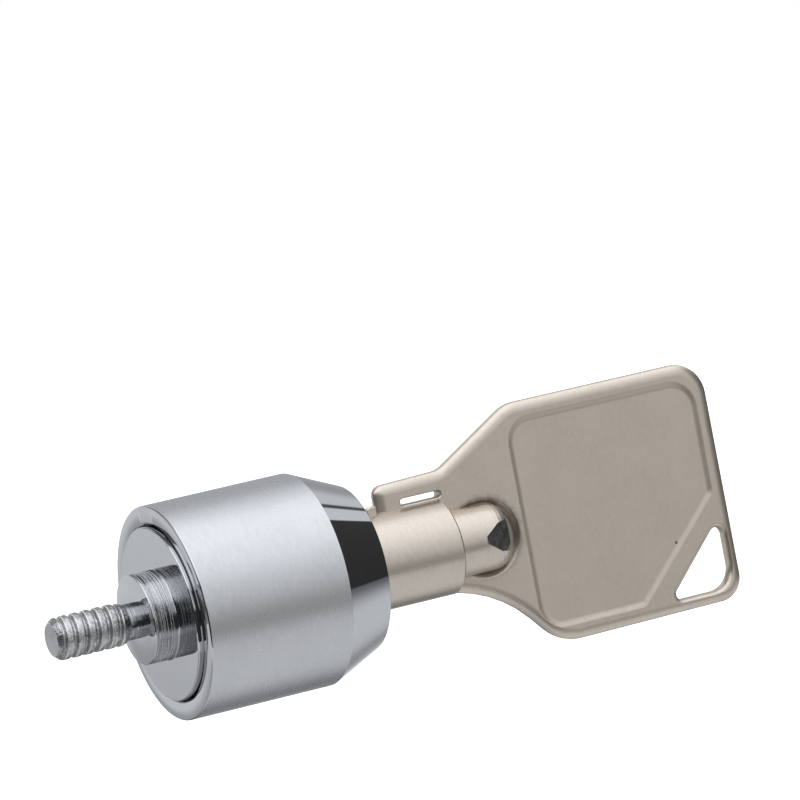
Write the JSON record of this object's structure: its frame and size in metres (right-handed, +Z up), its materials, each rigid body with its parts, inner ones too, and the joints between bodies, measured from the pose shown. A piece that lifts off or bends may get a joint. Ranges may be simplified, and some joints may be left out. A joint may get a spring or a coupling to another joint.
{
  "type": "tubular key lock",
  "caption": "Round chromed lock with a tapered nose, a boss and threaded stud at the back, and its tubular key in place; the key turns the stud and pulls out.",
  "frame": {"origin": "centre of the shell's flat rear face, on the lock's axis", "axes": "+Z up, towards the key's finger; -Y towards the key, +Y towards the threaded stud"},
  "size_m": [0.021, 0.073, 0.0242],
  "materials": {
    "shell_chrome": "satin chrome plate on the cylinder, bright on the tapered nose",
    "hub_chrome": "bright chrome plate, turned rings near the boss's end",
    "stud_steel": "bright plated steel, rough thread",
    "key_nickel": "satin nickel plate, warm grey",
    "brass": "plain turned brass",
    "bronze": "plain bronze",
    "spring_steel": "plain steel"
  },
  "bodies": {
    "lock_body": {"outer_shell": "shell_chrome", "pin_housing": "brass", "retaining_ring": "spring_steel", "driver_spring_1": "spring_steel", "driver_spring_2": "spring_steel", "driver_spring_3": "spring_steel", "driver_spring_4": "spring_steel", "driver_spring_5": "spring_steel", "driver_spring_6": "spring_steel", "driver_spring_7": "spring_steel"},
    "plug": {"rotor": "brass", "drive_hub": "hub_chrome", "threaded_stud": "stud_steel", "thrust_washer": "bronze"},
    "key": {"key_barrel": "key_nickel", "key_bow": "key_nickel"},
    "key_pin_1": {"key_pin_1": "brass"},
    "driver_pin_1": {"driver_pin_1": "spring_steel"},
    "key_pin_2": {"key_pin_2": "brass"},
    "driver_pin_2": {"driver_pin_2": "spring_steel"},
    "key_pin_3": {"key_pin_3": "brass"},
    "driver_pin_3": {"driver_pin_3": "spring_steel"},
    "key_pin_4": {"key_pin_4": "brass"},
    "driver_pin_4": {"driver_pin_4": "spring_steel"},
    "key_pin_5": {"key_pin_5": "brass"},
    "driver_pin_5": {"driver_pin_5": "spring_steel"},
    "key_pin_6": {"key_pin_6": "brass"},
    "driver_pin_6": {"driver_pin_6": "spring_steel"},
    "key_pin_7": {"key_pin_7": "brass"},
    "driver_pin_7": {"driver_pin_7": "spring_steel"}
  },
  "joints": [
    {"name": "plug_turn", "type": "hinge", "parent": "lock_body", "child": "plug", "pos_m": [0, 0, 0], "axis": [0, 1, 0], "range_deg": [0, 360]},
    {"name": "key_pull", "type": "slide", "parent": "plug", "child": "key", "axis": [0, -1, 0], "range_m": [0, 0.012]},
    {"name": "key_pin_1_travel", "type": "slide", "parent": "plug", "child": "key_pin_1", "axis": [0, -1, 0], "range_m": [0, 0.00327]},
    {"name": "driver_pin_1_travel", "type": "slide", "parent": "lock_body", "child": "driver_pin_1", "axis": [0, -1, 0], "range_m": [0, 0.00327], "deforming": ["driver_spring_1"]},
    {"name": "key_pin_2_travel", "type": "slide", "parent": "plug", "child": "key_pin_2", "axis": [0, -1, 0], "range_m": [0, 0.00207]},
    {"name": "driver_pin_2_travel", "type": "slide", "parent": "lock_body", "child": "driver_pin_2", "axis": [0, -1, 0], "range_m": [0, 0.00207], "deforming": ["driver_spring_2"]},
    {"name": "key_pin_3_travel", "type": "slide", "parent": "plug", "child": "key_pin_3", "axis": [0, -1, 0], "range_m": [0, 0.00287]},
    {"name": "driver_pin_3_travel", "type": "slide", "parent": "lock_body", "child": "driver_pin_3", "axis": [0, -1, 0], "range_m": [0, 0.00287], "deforming": ["driver_spring_3"]},
    {"name": "key_pin_4_travel", "type": "slide", "parent": "plug", "child": "key_pin_4", "axis": [0, -1, 0], "range_m": [0, 0.00167]},
    {"name": "driver_pin_4_travel", "type": "slide", "parent": "lock_body", "child": "driver_pin_4", "axis": [0, -1, 0], "range_m": [0, 0.00167], "deforming": ["driver_spring_4"]},
    {"name": "key_pin_5_travel", "type": "slide", "parent": "plug", "child": "key_pin_5", "axis": [0, -1, 0], "range_m": [0, 0.00367]},
    {"name": "driver_pin_5_travel", "type": "slide", "parent": "lock_body", "child": "driver_pin_5", "axis": [0, -1, 0], "range_m": [0, 0.00367], "deforming": ["driver_spring_5"]},
    {"name": "key_pin_6_travel", "type": "slide", "parent": "plug", "child": "key_pin_6", "axis": [0, -1, 0], "range_m": [0, 0.00247]},
    {"name": "driver_pin_6_travel", "type": "slide", "parent": "lock_body", "child": "driver_pin_6", "axis": [0, -1, 0], "range_m": [0, 0.00247], "deforming": ["driver_spring_6"]},
    {"name": "key_pin_7_travel", "type": "slide", "parent": "plug", "child": "key_pin_7", "axis": [0, -1, 0], "range_m": [0, 0.00287]},
    {"name": "driver_pin_7_travel", "type": "slide", "parent": "lock_body", "child": "driver_pin_7", "axis": [0, -1, 0], "range_m": [0, 0.00287], "deforming": ["driver_spring_7"]}
  ],
  "couplings": [
    {"joint": "key_pin_1_travel", "follows": "key_pull", "ratio": 0.2725},
    {"joint": "driver_pin_1_travel", "follows": "key_pull", "ratio": 0.2725},
    {"joint": "key_pin_2_travel", "follows": "key_pull", "ratio": 0.17249},
    {"joint": "driver_pin_2_travel", "follows": "key_pull", "ratio": 0.17249},
    {"joint": "key_pin_3_travel", "follows": "key_pull", "ratio": 0.23916},
    {"joint": "driver_pin_3_travel", "follows": "key_pull", "ratio": 0.23916},
    {"joint": "key_pin_4_travel", "follows": "key_pull", "ratio": 0.13916},
    {"joint": "driver_pin_4_travel", "follows": "key_pull", "ratio": 0.13916},
    {"joint": "key_pin_5_travel", "follows": "key_pull", "ratio": 0.30583},
    {"joint": "driver_pin_5_travel", "follows": "key_pull", "ratio": 0.30583},
    {"joint": "key_pin_6_travel", "follows": "key_pull", "ratio": 0.20583},
    {"joint": "driver_pin_6_travel", "follows": "key_pull", "ratio": 0.20583},
    {"joint": "key_pin_7_travel", "follows": "key_pull", "ratio": 0.23916},
    {"joint": "driver_pin_7_travel", "follows": "key_pull", "ratio": 0.23916}
  ]
}
